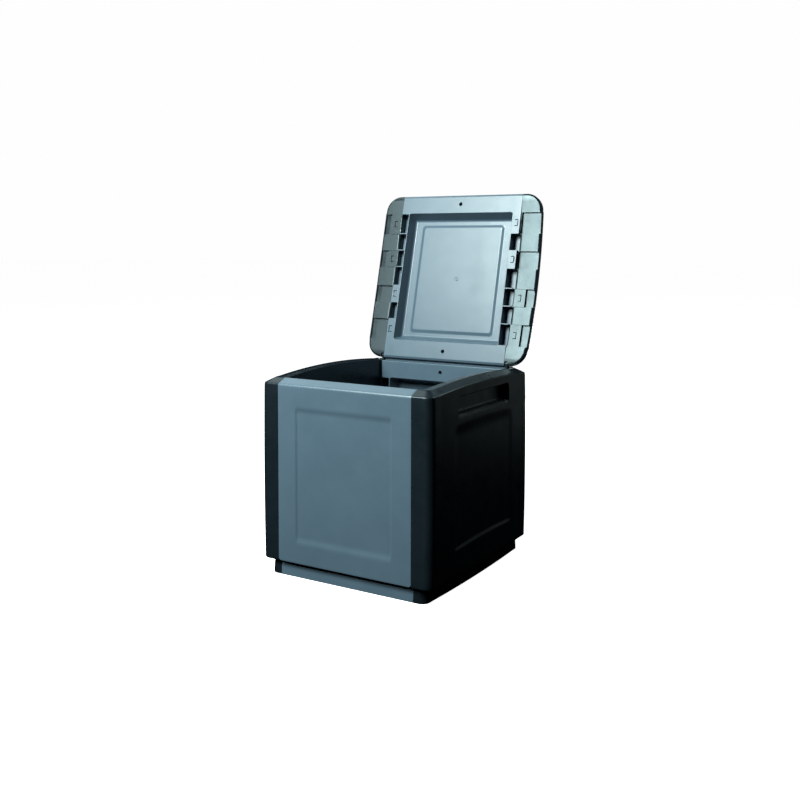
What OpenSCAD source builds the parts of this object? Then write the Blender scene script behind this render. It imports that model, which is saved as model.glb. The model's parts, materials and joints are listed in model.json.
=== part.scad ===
// Two-tone plastic storage trunk with a hinged lid, drawn with its lid standing open.
// Millimetres. +X is right, +Y is back, +Z is up; the origin is on the floor under the middle.
// Grey centre panels lock between black end mouldings in the walls, the lid and the base alike.

/* [Trunk] */
// Overall width at the middle of the sides
box_w = 546; // [520:1:600]
// Overall depth from the front face to the back face
box_d = 580; // [540:1:640]
// Height of the front and back rims above the floor
rim_h = 540; // [500:1:620]
// Radius of the upright corners
corner_r = 26; // [22:0.5:32]
// How far each side bows out in plan between its corners
side_bow = 6; // [2:0.5:9]
// How far each side swells between its foot and its rim
side_belly = 2; // [1:0.5:4]
// How far the side rims arch up in the middle
rim_arch = 11; // [5:0.5:12]

/* [Walls] */
// Thickness of the moulded skin
skin = 3.5; // [2.5:0.1:4.5]
// Thickness of the thin ribs
rib = 2.5; // [2:0.1:3.5]
// Depth of the hollow walls from face to inner face
rim_depth = 53; // [48:0.5:56]
// Height of the closed band under the rim
rim_band = 57; // [48:1:62]
// Height of the closed band above the base
foot_band = 46; // [38:1:54]
// Run of the sloping rim edge, front and back
bevel_run = 30; // [24:0.5:31]
// Drop of the sloping rim edge
bevel_drop = 14; // [12:0.5:18]
// Run of the sloping rim edge on the sides
side_run = 24; // [18:0.5:28]
// Step down from the rim's crest to the ledge inside it
ledge_drop = 4; // [2:0.5:5]
// Gap in the seams between mouldings
seam_gap = 0.3; // [0.2:0.05:0.6]

/* [Grey panels] */
// Width of the grey centre panels
panel_w = 418; // [400:1:424]
// Width of the hollow behind each grey panel
tub_w = 362; // [330:1:364]
// How far the hollow's side walls lean in
tub_side_lean = 9; // [5:0.5:12]
// How far the hollow's top and bottom walls lean in
tub_end_lean = 15; // [9:0.5:18]
// Width of the sunk field on a grey panel
field_w = 304; // [270:1:310]
// Distance from the rim down to the field's top edge
field_top = 72; // [66:1:90]
// Distance from the foot of the panel up to the field's lower edge
field_foot = 56; // [50:1:70]
// Depth of the sunk fields
field_depth = 3; // [1.5:0.1:3.6]
// Width of the field's soft border at the sides
field_edge = 7; // [4:0.5:10]
// Width of the field's soft border at its ends
field_end = 15; // [8:0.5:20]
// Diameter of the round holes in the bands
band_hole = 12; // [8:0.5:16]

/* [Side panels] */
// Length of the hand grip recess
grip_l = 304; // [240:1:310]
// Height of the hand grip recess
grip_h = 46; // [38:0.5:50]
// Distance from the rim down to the grip's top edge
grip_drop = 25; // [24:0.5:32]
// Depth of the hand grip recess
grip_depth = 25; // [18:0.5:28]
// Fall of the grip's lower ledge
grip_ledge = 10; // [5:0.5:14]
// Length of the sunk field on a side
side_field_l = 356; // [300:1:380]
// How far the field's lower edge arches up
side_field_arch = 10; // [4:0.5:14]

/* [Lid] */
// How far the lid's front and back edges stand in from the walls' faces
lid_in = 27.5; // [22:0.5:30]
// Height of the lid over the rim
lid_h = 39; // [38:0.5:44]
// Height of the lid's upright edge
lid_edge = 22; // [20.5:0.5:24]
// Height of the upright part of the lid's side edges
lid_side_edge = 10; // [8:0.5:14]
// How far the lid's side edges stand out beyond the walls
lid_over = 6; // [3:0.5:8]
// Radius of the lid's corners in plan
lid_corner_r = 52; // [45:1:60]
// Depth of the hollow under the lid
lid_tub_d = 36; // [30:0.5:36]
// Width of the closed bands at the lid's front and back
lid_band = 58; // [52:0.5:62]
// Running gap between the closed lid and the rim
lid_gap = 0.5; // [0.3:0.1:1]
// Opening angle of the lid
open_angle = 104.25; // [95:0.05:108]
// Run of the sloping lip under the lid's edges
lip_run = 6; // [5:0.1:8]
// Rise of that lip
lip_rise = 3.5; // [3:0.1:6]
// Depth of the stepped cells in the lid's ends
cell_step = 8; // [5:0.5:9]
// Width of the latch tongues in the lid's ends
tongue_w = 37; // [32:0.5:40]
// Width of the slot cut round each latch tongue
slot = 2.6; // [2:0.1:3.2]

/* [Hinge] */
// Diameter of the hinge pins
pin_d = 6; // [5:0.1:7]
// Length of the hinge pins
pin_l = 35; // [31:0.5:37]
// Radial running clearance of the pin in the arm's eye
pin_run = 0.08; // [0.04:0.01:0.1]
// Radial clearance of the pin in its seats in the lid
pin_seat = 0.03; // [0.01:0.01:0.05]
// Height of the pin over the rim
axis_up = 10.3; // [9.8:0.1:12]
// Distance of the pin in from the lid's back edge
axis_in = 6.5; // [6:0.1:8]
// Distance from the middle of the trunk to the middle of each hinge arm
arm_x = 214.5; // [214:0.1:216]
// Thickness of the hinge arms
arm_t = 7; // [5:0.1:8]
// Width of the hinge arms' stems
stem_w = 11; // [9:0.1:11.5]
// Width of the notch round each hinge arm
notch_w = 15; // [13:0.5:19]
// Depth of that notch in from the lid's back edge
notch_d = 20; // [16:0.5:24]

/* [Base] */
// Height of the base under the walls
plinth_h = 41; // [34:1:46]
// How far the base stands back from the front and back walls
plinth_in = 12; // [8:0.5:20]
// How far the base stands back from the side walls
plinth_side_in = 22; // [16:0.5:26]
// How far the base's faces lean in towards their top
plinth_lean = 5; // [2:0.5:8]
// Thickness of the base's floor
floor_t = 4; // [3:0.1:6]
// Number of rib bays across the base
bays_x = 5; // [5:1:7]
// Number of rib bays from front to back
bays_y = 6; // [6:1:8]

/* [Hidden] */
$fn = 48;
cut = 1;

half_d = box_d / 2;
half_w = box_w / 2 - side_bow;
// How much the corners of the walls tighten towards the rim, as a share of the face inset
rim_shrink = 0.4;
// The bow and the arch of the sides end here, short of the corners
reach = half_d - corner_r - (1 - rim_shrink) * bevel_run - 4;
grey_x = panel_w / 2;
seam_x = grey_x + seam_gap;
inner_x = half_w - rim_depth;
inner_y = half_d - rim_depth;
wall_h = rim_h - plinth_h;
wall_mid = plinth_h + wall_h / 2;
fold_z = rim_h - bevel_drop;
fold_soft = 2.5;

tub_top = rim_h - rim_band;
tub_foot = plinth_h + foot_band;
wall_tub_d = rim_depth - skin - field_depth;

lid_half_w = half_w + lid_over;
lid_half_l = half_d - lid_in;
lid_z = rim_h + lid_gap;
axis_y = lid_half_l - axis_in;
axis_z = rim_h + axis_up;
lean = open_angle - 90;

// Lengths of the seven latch rows along a joint, as shares of the whole
row_share = [64, 53, 53, 60, 53, 53, 64];
rows = len(row_share);

// Sums, rows and soft profiles
function sum_to(v, n) = n <= 0 ? 0 : v[n - 1] + sum_to(v, n - 1);
function row_at(i, length) = length * (sum_to(row_share, i) / sum_to(row_share, rows) - 0.5);
function arch_at(y) = abs(y) >= reach ? 0 : 1 - pow(y / reach, 2);
function soft_step(m, e) = (m + sqrt(m * m + e * e)) / 2;

// Inset of the front and back faces at height z: upright, then the sloping rim edge
function face_inset(z) = soft_step((z - fold_z) * bevel_run / bevel_drop, fold_soft);
// Inset of the side faces at height z: the swelling side, then the sloping rim edge
function belly_inset(z) = side_belly * pow((z - wall_mid) / (wall_h / 2), 2);
function side_inset(z) = belly_inset(z) + soft_step((z - fold_z) * side_run / bevel_drop, fold_soft);

// Heights up the sloping edge as shares of its drop, then the step down inside the crest
rim_steps = [-0.4, -0.12, 0.04, 0.2, 0.5, 0.8, 0.94, 1];
function rim_level(s) = fold_z + s * bevel_drop;
ledge_steps = [[1.4, 0.2], [2.4, 0.7], [3, 1]];

// A tapered block between two heights, each with its own low and high corner
module tapered(lo0, hi0, z0, lo1, hi1, z1) {
    polyhedron(
        points = [[lo0[0], lo0[1], z0], [hi0[0], lo0[1], z0], [hi0[0], hi0[1], z0], [lo0[0], hi0[1], z0],
            [lo1[0], lo1[1], z1], [hi1[0], lo1[1], z1], [hi1[0], hi1[1], z1], [lo1[0], hi1[1], z1]],
        faces = [[0, 1, 2, 3], [7, 6, 5, 4], [0, 4, 5, 1], [1, 5, 6, 2], [2, 6, 7, 3], [3, 7, 4, 0]]);
}

// The black end form: a slab that starts flat at the seam and wraps round two corners.
// Stations run round its outline from the front seam to the back seam; levels run up it.
// A level is [height, face inset, side inset, arch, share of the sunk field].
arc_steps = 6;
function stations(ys) = concat([[0, 0, -1]],
    [for (j = [0 : arc_steps]) [1, 90 * j / arc_steps, -1]],
    [for (y = ys) [2, y, 0]],
    [for (j = [arc_steps : -1 : 0]) [1, 90 * j / arc_steps, 1]],
    [[0, 0, 1]]);
// A corner grows tighter with its face inset, and always leaves a flat strip at the seam.
function level_r(x0, cw, r, shrink, lev) = min(r - shrink * lev[1], cw - lev[2] - x0 - 1);
function plan_at(s, x0, cw, cd, r, shrink, lev, sunk) = let (t = level_r(x0, cw, r, shrink, lev))
    s[0] == 0 ? [x0, s[2] * (cd - lev[1])] :
    s[0] == 1 ? [cw - lev[2] - t + t * sin(s[1]), s[2] * (cd - lev[1] - t + t * cos(s[1]))] :
    [cw + side_bow * arch_at(s[1]) - lev[2] - lev[4] * sunk, s[1]];
function form_at(s, x0, cw, cd, r, shrink, lev, sunk) =
    let (p = plan_at(s, x0, cw, cd, r, shrink, lev, sunk))
    [p[0], p[1], lev[0] + lev[3] * arch_at(p[1])];

module end_form(x0, cw, cd, r, shrink, ys, levels, field_y = 0) {
    st = stations(ys);
    n = len(st);
    m = len(levels);
    // An arched form has lines of points along its inner edges, between the two corners
    c0 = 1 + arc_steps;
    c1 = n - 2 - arc_steps;
    arched = levels[m - 1][3] > 0;
    outer = [for (lev = levels) for (s = st)
        form_at(s, x0, cw, cd, r, shrink, lev, abs(s[1]) < field_y && s[0] == 2 ? field_depth : 0)];
    over0 = (m - 1) * n;
    low = [for (i = [c0 : c1]) if (arched) [x0, outer[i][1], outer[i][2]]];
    high = [for (i = [c0 : c1]) if (arched) [x0, outer[over0 + i][1], outer[over0 + i][2]]];
    low0 = m * n - c0;
    high0 = low0 + len(low);
    walls = [for (k = [0 : m - 2]) for (i = [0 : n - 2]) let (a = k * n + i)
        each [[a, a + n, a + n + 1], [a, a + n + 1, a + 1]]];
    under = arched ?
        concat([concat([for (i = [0 : c0]) i], [low0 + c0])],
            [for (i = [c0 : c1 - 1]) [i, i + 1, low0 + i + 1, low0 + i]],
            [concat([for (i = [c1 : n - 1]) i], [low0 + c1])]) :
        [[for (i = [0 : n - 1]) i]];
    over = arched ?
        concat([concat([high0 + c0], [for (i = [c0 : -1 : 0]) over0 + i])],
            [for (i = [c0 : c1 - 1]) [high0 + i, high0 + i + 1, over0 + i + 1, over0 + i]],
            [concat([high0 + c1], [for (i = [n - 1 : -1 : c1]) over0 + i])]) :
        [[for (i = [n - 1 : -1 : 0]) over0 + i]];
    front_edge = [for (k = [m - 1 : -1 : 0]) k * n];
    back_edge = [for (k = [0 : m - 1]) k * n + n - 1];
    seam = arched ?
        concat([concat([high0 + c0], front_edge, [low0 + c0])],
            [for (i = [c0 : c1 - 1]) [high0 + i + 1, high0 + i, low0 + i, low0 + i + 1]],
            [concat([low0 + c1], back_edge, [high0 + c1])]) :
        [concat(back_edge, front_edge)];
    polyhedron(points = concat(outer, low, high), faces = concat(walls, under, over, seam));
}

// Grey wall panel, drawn as the front one: outer face towards -Y
module wall_profile() {
    polygon(concat(
        [[-half_d + 3, plinth_h + seam_gap], [-half_d + 0.8, plinth_h + 1.2], [-half_d, plinth_h + 3.5]],
        [for (s = rim_steps) let (z = rim_level(s)) [-half_d + face_inset(z), z]],
        [for (s = ledge_steps) [-half_d + face_inset(rim_h) + s[0], rim_h - ledge_drop * s[1]]],
        [[-inner_y, rim_h - ledge_drop], [-inner_y, plinth_h + seam_gap]]));
}

module along_x(length) {
    rotate([90, 0, 90]) translate([0, 0, -length / 2]) linear_extrude(height = length) children();
}

// Closed channel inside a band, open only at the seams
module band_channel(z0, z1, slope) {
    along_x(panel_w + 2 * cut)
        polygon([[-half_d + skin, z0], [-half_d + skin, z1 - slope * (bevel_drop - ledge_drop)],
            [-half_d + skin + slope * bevel_run * 0.62, z1], [-inner_y - skin, z1], [-inner_y - skin, z0]]);
}

module wall_panel() {
    field_z0 = plinth_h + field_foot;
    field_z1 = rim_h - field_top;
    tub_mid = (tub_top + tub_foot) / 2;
    tub_h = tub_top - tub_foot;
    pocket_x = tub_w / 2 + rib;
    spread = cut / field_depth;
    difference() {
        along_x(panel_w) wall_profile();
        // Sunk field with soft borders
        translate([0, -half_d, 0]) rotate([-90, 0, 0]) mirror([0, 1, 0])
            tapered([-field_w / 2 - spread * field_edge, field_z0 - spread * field_end],
                [field_w / 2 + spread * field_edge, field_z1 + spread * field_end], -cut,
                [-field_w / 2 + field_edge, field_z0 + field_end],
                [field_w / 2 - field_edge, field_z1 - field_end], field_depth);
        // Hollow behind the panel
        translate([0, -inner_y, 0]) rotate([90, 0, 0])
            tapered([-tub_w / 2, tub_foot], [tub_w / 2, tub_top], -cut,
                [-tub_w / 2 + tub_side_lean, tub_foot + tub_end_lean],
                [tub_w / 2 - tub_side_lean, tub_top - tub_end_lean], wall_tub_d);
        // Latch pockets down both seams
        for (side = [0, 1], i = [0 : rows - 1])
            mirror([side, 0, 0]) translate([0, -inner_y, tub_mid]) rotate([90, 0, 0])
                tapered([pocket_x, row_at(i, tub_h) + rib / 2],
                    [grey_x + cut, row_at(i + 1, tub_h) - rib / 2], -cut,
                    [pocket_x - tub_side_lean, row_at(i, tub_h) + rib / 2],
                    [grey_x + cut, row_at(i + 1, tub_h) - rib / 2], wall_tub_d);
        band_channel(tub_top + skin, rim_h - ledge_drop - skin, 1);
        band_channel(plinth_h - cut, tub_foot - skin, 0);
        translate([0, -inner_y + cut, rim_h - rim_band / 2])
            rotate([90, 0, 0]) cylinder(d = band_hole, h = skin + 2 * cut);
    }
}

module front_panel() color("slategray") wall_panel();
module back_panel() color("slategray") rotate([0, 0, 180]) wall_panel();

// Black side panel, drawn as the right one
side_field_y = side_field_l / 2;
side_ys = [-216, -side_field_y, -side_field_y + field_edge, -120, -60, 0,
    60, 120, side_field_y - field_edge, side_field_y, 216];
grip_top = rim_h - grip_drop;
grip_foot = grip_top - grip_h;
grip_floor = half_w + side_bow - grip_depth;
field_low = plinth_h + field_foot + 4;
field_high = grip_foot - grip_ledge - 12;

side_levels = concat(
    [[plinth_h + seam_gap, 3, 3 + side_belly, 0, 0],
     [plinth_h + 1.2, 0.8, 0.8 + belly_inset(plinth_h), 0, 0],
     [plinth_h + 3.5, 0, belly_inset(plinth_h + 3.5), 0, 0]],
    [for (f = [[field_low, 0], [field_low + field_end, 1], [field_low + field_end + 40, 1], [wall_mid, 1],
            [field_high - field_end - 70, 1], [field_high - field_end, 1], [field_high, 0]])
        let (up = (f[0] - field_low) / (field_high - field_low))
        [f[0], 0, belly_inset(f[0]), side_field_arch + (rim_arch - side_field_arch) * up, f[1]]],
    [for (s = rim_steps) let (z = rim_level(s))
        [z, face_inset(z), side_inset(z), rim_arch, 0]],
    [for (s = ledge_steps)
        [rim_h - ledge_drop * s[1], face_inset(rim_h) + s[0], side_inset(rim_h) + s[0], rim_arch, 0]]);

module grip_shape(grow) {
    corner = 12;
    l = grip_l + 2 * grow;
    h = grip_h + 2 * grow;
    intersection() {
        translate([grip_floor - grow, 0, (grip_top + grip_foot) / 2]) rotate([90, 0, 90])
            linear_extrude(height = grip_depth * 2)
                union() {
                    square([l - 2 * corner, h + 2 * grip_ledge], center = true);
                    square([l, h - 2 * corner], center = true);
                    for (a = [-1, 1], b = [-1, 1])
                        translate([a * (l / 2 - corner), b * (h / 2 - corner)]) circle(r = corner);
                }
        rotate([90, 0, 0]) translate([0, 0, -grip_l]) linear_extrude(height = 2 * grip_l)
            polygon([[grip_floor - grow, grip_foot - grow], [grip_floor - grow, grip_top + grow],
                [grip_floor + 2 * grip_depth, grip_top + grow],
                [grip_floor + 2 * grip_depth, grip_foot - grow - 2 * grip_ledge]]);
    }
}

module side_panel() {
    tub_y = inner_y - 20;
    tub_d = rim_depth - skin - field_depth - side_belly;
    tub_mid = (tub_top + tub_foot) / 2;
    tub_h = tub_top - tub_foot;
    post_y0 = inner_y + skin;
    post_y1 = half_d - 12;
    post_x = half_w - 20;
    rim_x0 = inner_x + side_bow + skin;
    channel_z = tub_top - 2 * tub_side_lean;
    foot_y = half_d - 0.7 * corner_r;
    difference() {
        end_form(seam_x, half_w, half_d, corner_r, rim_shrink, side_ys, side_levels,
            side_field_y - field_edge / 2);
        // Inner face of the side between the front and back walls
        inner_face();
        // Hollow behind the side, kept clear of the hand grip
        difference() {
            translate([inner_x, 0, 0]) rotate([90, 0, 90])
                tapered([-tub_y, tub_foot], [tub_y, tub_top], -cut,
                    [-tub_y + tub_end_lean, tub_foot + tub_end_lean],
                    [tub_y - tub_end_lean, tub_top - tub_side_lean], tub_d);
            grip_shape(skin);
        }
        grip_shape(0);
        // Hollow of the rim behind the grip, open into the hollow below it
        translate([rim_x0, -tub_y + tub_end_lean, channel_z])
            cube([grip_floor - skin - 0.5 - rim_x0, 2 * (tub_y - tub_end_lean), rim_h - 11 - channel_z]);
        // Hollow of the foot, open downwards over the base
        translate([rim_x0, -foot_y, plinth_h - cut])
            cube([half_w - 12 - rim_x0, 2 * foot_y, foot_band - skin + cut]);
        // Latch pockets in the corner posts, facing the ends of the grey panels
        for (side = [0, 1], i = [0 : rows - 1])
            mirror([0, side, 0])
                translate([seam_x - cut, post_y0, tub_mid + row_at(i, tub_h) + rib / 2])
                    cube([post_x - seam_x + cut, post_y1 - post_y0,
                        row_at(i + 1, tub_h) - row_at(i, tub_h) - rib]);
    }
    hinge_arm();
}

// Everything between the seam plane and the bowed inner face, over the trunk's inside
module inner_face() {
    steps = 8;
    translate([0, 0, plinth_h - cut]) linear_extrude(height = wall_h + rim_arch + 2 * cut)
        polygon(concat([[seam_x - cut, inner_y], [seam_x - cut, -inner_y]],
            [for (j = [0 : steps]) let (y = inner_y * (2 * j / steps - 1))
                [inner_x + side_bow * arch_at(y), y]]));
}

module hinge_arm() {
    base_z = rim_h - 14;
    difference() {
        translate([arm_x - arm_t / 2, 0, 0]) union() {
            translate([0, axis_y - stem_w / 2, base_z]) cube([arm_t, stem_w, axis_z - base_z]);
            translate([0, axis_y, axis_z]) rotate([0, 90, 0]) cylinder(d = stem_w, h = arm_t);
        }
        translate([arm_x - arm_t / 2 - cut, axis_y, axis_z])
            rotate([0, 90, 0]) cylinder(r = pin_d / 2 + pin_run, h = arm_t + 2 * cut);
    }
}

module right_side_panel() color("darkslategray") side_panel();
module left_side_panel() color("darkslategray") mirror([1, 0, 0]) side_panel();

// Lid, drawn shut and then swung open about the hinge pins
module swung() {
    translate([0, axis_y, axis_z]) rotate([-open_angle, 0, 0]) translate([0, -axis_y, -axis_z]) children();
}

// Top of the notch: it meets the arm's stem when the lid is fully open
notch_top = axis_z + axis_in * tan(lean) + stem_w / 2 / cos(lean) + seam_gap;

module hinge_notch() {
    translate([arm_x - notch_w / 2, lid_half_l - notch_d, lid_z - cut])
        cube([notch_w, notch_d + cut, notch_top - lid_z + cut]);
    translate([arm_x - pin_l / 2, axis_y, axis_z])
        rotate([0, 90, 0]) cylinder(r = pin_d / 2 + pin_seat, h = pin_l);
}

module latch_slot(w, l) {
    depth = 10;
    difference() {
        translate([-w / 2, -l / 2, -depth / 2]) cube([w, l, depth]);
        translate([-w / 2 - slot, -l / 2 + slot, -depth]) cube([w, l - 2 * slot, 2 * depth]);
    }
}

// Rows of the right seam, counted from the back: latch plates on the grey side, tongues on the black
plate_rows = [4, 6];
tongue_rows = [0, 2];
function has(v, i) = len(search(i, v)) > 0;
latch_w = 11;
latch_l = 21;
lid_tub_l = 2 * (lid_half_l - lid_band);

module lid_profile() {
    polygon([[-lid_half_l + lip_run, 0], [-lid_half_l, lip_rise], [-lid_half_l, lid_edge],
        [-lid_half_l + 0.8, lid_edge + 2], [-lid_half_l + bevel_run - 3, lid_h - 1],
        [-lid_half_l + bevel_run, lid_h],
        [lid_half_l - bevel_run, lid_h], [lid_half_l - bevel_run + 3, lid_h - 1],
        [lid_half_l - 0.8, lid_edge + 2], [lid_half_l, lid_edge], [lid_half_l, lip_rise],
        [lid_half_l - lip_run, 0]]);
}

module lid_centre() {
    pad_l = lid_tub_l - 2 * tub_end_lean - 28;
    pad_w = field_w - field_edge;
    channel_w = 2 * (arm_x - pin_l / 2 - 6);
    difference() {
        translate([0, 0, lid_z]) along_x(panel_w) lid_profile();
        translate([0, 0, lid_z]) {
            // Hollow under the lid, with the sunk field of the top standing down into it
            difference() {
                tapered([-tub_w / 2, -lid_tub_l / 2], [tub_w / 2, lid_tub_l / 2], -cut,
                    [-tub_w / 2 + tub_side_lean, -lid_tub_l / 2 + tub_end_lean],
                    [tub_w / 2 - tub_side_lean, lid_tub_l / 2 - tub_end_lean], lid_tub_d);
                tapered([-pad_w / 2 + field_edge, -pad_l / 2 + field_edge],
                    [pad_w / 2 - field_edge, pad_l / 2 - field_edge], lid_tub_d - field_depth,
                    [-pad_w / 2, -pad_l / 2], [pad_w / 2, pad_l / 2], lid_tub_d + cut);
            }
            translate([0, 0, lid_h - field_depth])
                tapered([-pad_w / 2 + field_edge, -pad_l / 2 + field_edge],
                    [pad_w / 2 - field_edge, pad_l / 2 - field_edge], 0,
                    [-pad_w / 2, -pad_l / 2], [pad_w / 2, pad_l / 2], field_depth + cut);
            // Closed channels in the front and back bands
            for (side = [0, 1])
                mirror([0, side, 0]) along_x(channel_w)
                    polygon([[lid_tub_l / 2 + rib, skin], [lid_half_l - skin - lip_run, skin],
                        [lid_half_l - skin, skin + lip_rise], [lid_half_l - skin, lid_edge - 1],
                        [lid_half_l - skin - bevel_run + 6, lid_h - skin - 1],
                        [lid_tub_l / 2 + rib, lid_h - skin - 1]]);
            for (side = [-1, 1])
                translate([0, side * (lid_half_l - lid_band / 2), -cut])
                    cylinder(d = band_hole, h = skin + 2 * cut);
            // Latch pockets along both seams; the left seam is the right one turned half round
            for (turn = [0, 180], i = [0 : rows - 1])
                rotate([0, 0, turn]) latch_pocket(i);
        }
        hinge_notch();
        mirror([1, 0, 0]) hinge_notch();
    }
}

// One pocket of the right seam; row 0 is at the back
module latch_pocket(i) {
    y0 = -row_at(i + 1, lid_tub_l);
    y1 = -row_at(i, lid_tub_l);
    x0 = tub_w / 2 + rib;
    closed = has(plate_rows, i);
    bridge = closed ? 2.5 : -cut;
    tapered([x0, y0 + rib / 2], [grey_x + cut, y1 - rib / 2], bridge,
        [x0 - tub_side_lean, y0 + rib / 2], [grey_x + cut, y1 - rib / 2], lid_tub_d - rib);
    if (closed) translate([x0 + 14, (y0 + y1) / 2, 0]) latch_slot(latch_w, latch_l);
}

// Black lid end, drawn as the right one over the shut trunk
lid_ys = [for (j = [-5 : 5]) j * (lid_half_l - lid_corner_r) / 6];
// Heights over the upright side edge as shares of the rest, then both insets as shares of their runs
lid_steps = [[0.02, 0.01], [0.14, 0.12], [0.3, 0.28], [0.41, 0.4], [0.48, 0.48], [0.62, 0.62], [0.76, 0.77],
    [0.9, 0.9], [0.97, 0.97], [1, 1]];
function lid_face_in(z) = z <= lid_edge ? 0 : bevel_run * pow((z - lid_edge) / (lid_h - lid_edge), 1.15);
lid_levels = concat(
    [[0, lip_run, lip_run, 0, 0],
     [lip_rise * 0.3, lip_run * 0.4, lip_run * 0.4, 0, 0],
     [lip_rise, 0, 0, 0, 0],
     [lid_side_edge, 0, 0, rim_arch, 0]],
    [for (s = lid_steps) let (z = lid_side_edge + s[0] * (lid_h - lid_side_edge))
        [z, lid_face_in(z), side_run * s[1], rim_arch * (1 - s[0]), 0]]);

// Radius of the arch that springs from end to end of the arched part of the rim
arch_r = (pow(reach, 2) + pow(rim_arch, 2)) / (2 * rim_arch);

// The left end is this one turned half round, so its hinge notch is cut at the other edge
module lid_end(turned) {
    cell_x0 = seam_x + 2.5;
    post_x = lid_half_w - side_run;
    difference() {
        translate([0, 0, lid_z]) {
            difference() {
                end_form(seam_x, lid_half_w, lid_half_l, lid_corner_r, 1, lid_ys, lid_levels);
                // Underside arched to sit over the arched side rim
                translate([seam_x - cut, 0, rim_arch - arch_r])
                    rotate([0, 90, 0]) cylinder(r = arch_r, h = half_w, $fn = 720);
                for (i = [0 : rows - 1]) {
                    y0 = -row_at(i + 1, lid_tub_l);
                    y1 = -row_at(i, lid_tub_l);
                    mid = (y0 + y1) / 2;
                    rise = rim_arch * arch_at(mid);
                    cell_x1 = lid_half_w - lip_run - 2 + side_bow * arch_at(max(abs(y0), abs(y1)));
                    // Sunk cells: the whole cell beside a latch plate, a strip beside a tongue
                    if (has(plate_rows, i)) translate([cell_x0, y0, -cut])
                        cube([cell_x1 - cell_x0, y1 - y0, rise + cell_step + cut]);
                    if (has(tongue_rows, i)) {
                        translate([cell_x0 + tongue_w, y0, -cut])
                            cube([cell_x1 - cell_x0 - tongue_w, y1 - y0, rise + cell_step + cut]);
                        translate([cell_x0 + 19, mid, rise]) latch_slot(latch_w, latch_l);
                    }
                    // Hollow of the end behind its cells, open to the seam
                    translate([seam_x - cut, y0 + rib / 2, rim_arch + cell_step + rib])
                        cube([post_x - seam_x + cut, y1 - y0 - rib,
                            lid_h - skin - rim_arch - cell_step - rib]);
                }
            }
        }
        mirror([0, turned, 0]) hinge_notch();
    }
}

module lid_centre_panel() color("lightslategray") swung() lid_centre();
module lid_right_end() color("darkslategray") swung() lid_end(0);
module lid_left_end() color("darkslategray") swung() rotate([0, 0, 180]) lid_end(1);

module pin() {
    translate([arm_x - pin_l / 2 + seam_gap, axis_y, axis_z])
        rotate([0, 90, 0]) cylinder(d = pin_d, h = pin_l - 2 * seam_gap);
}
module hinge_pin_right() color("dimgray") pin();
module hinge_pin_left() color("dimgray") mirror([1, 0, 0]) pin();

// Base: a ribbed tray in three pieces under the walls
base_half_d = half_d - plinth_in;
base_half_w = half_w - plinth_side_in;
base_r = corner_r;
base_ys = [for (j = [-4 : 4]) j * (base_half_d - base_r) / 5];
base_top = plinth_h;
base_levels = [
    [0, 3.5, 3.5, 0, 0],
    [1.2, 1, 1, 0, 0],
    [4, 0, 0, 0, 0],
    [base_top - 8, plinth_lean - 1, plinth_lean - 1, 0, 0],
    [base_top, plinth_lean, plinth_lean, 0, 0]];

module base_bays(x0, x1, nx) {
    y1 = base_half_d - plinth_lean - floor_t;
    step_x = (x1 - x0) / nx;
    step_y = 2 * y1 / bays_y;
    for (i = [0 : nx - 1], j = [0 : bays_y - 1])
        translate([x0 + i * step_x + rib / 2, -y1 + j * step_y + rib / 2, -cut])
            cube([step_x - rib, step_y - rib, base_top - floor_t + cut]);
}

module base_centre() color("slategray") {
    difference() {
        along_x(panel_w)
            polygon([[-base_half_d + 3.5, 0], [-base_half_d + 1, 1.2], [-base_half_d, 4],
                [-base_half_d + plinth_lean - 1, base_top - 8], [-base_half_d + plinth_lean, base_top],
                [base_half_d - plinth_lean, base_top], [base_half_d - plinth_lean + 1, base_top - 8],
                [base_half_d, 4], [base_half_d - 1, 1.2], [base_half_d - 3.5, 0]]);
        base_bays(-grey_x + rib, grey_x - rib, bays_x);
    }
    cylinder(d = 40, h = base_top - floor_t / 2);
}

module base_end() {
    difference() {
        end_form(seam_x, base_half_w, base_half_d, base_r, 1, base_ys, base_levels);
        intersection() {
            base_bays(seam_x, base_half_w - 12, 1);
            translate([seam_x, -base_half_d + base_r, -cut])
                cube([base_half_w, 2 * (base_half_d - base_r), base_top]);
        }
    }
}
module base_right_end() color("darkslategray") base_end();
module base_left_end() color("darkslategray") mirror([1, 0, 0]) base_end();

front_panel();
back_panel();
left_side_panel();
right_side_panel();
base_centre();
base_left_end();
base_right_end();
lid_centre_panel();
lid_left_end();
lid_right_end();
hinge_pin_left();
hinge_pin_right();
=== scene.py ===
"""Looks of a two-tone plastic storage trunk that stands open: shells, finishes, light and camera."""
import json
import math

import bmesh
import bpy
import numpy as np
from mathutils import Matrix, Vector


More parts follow.
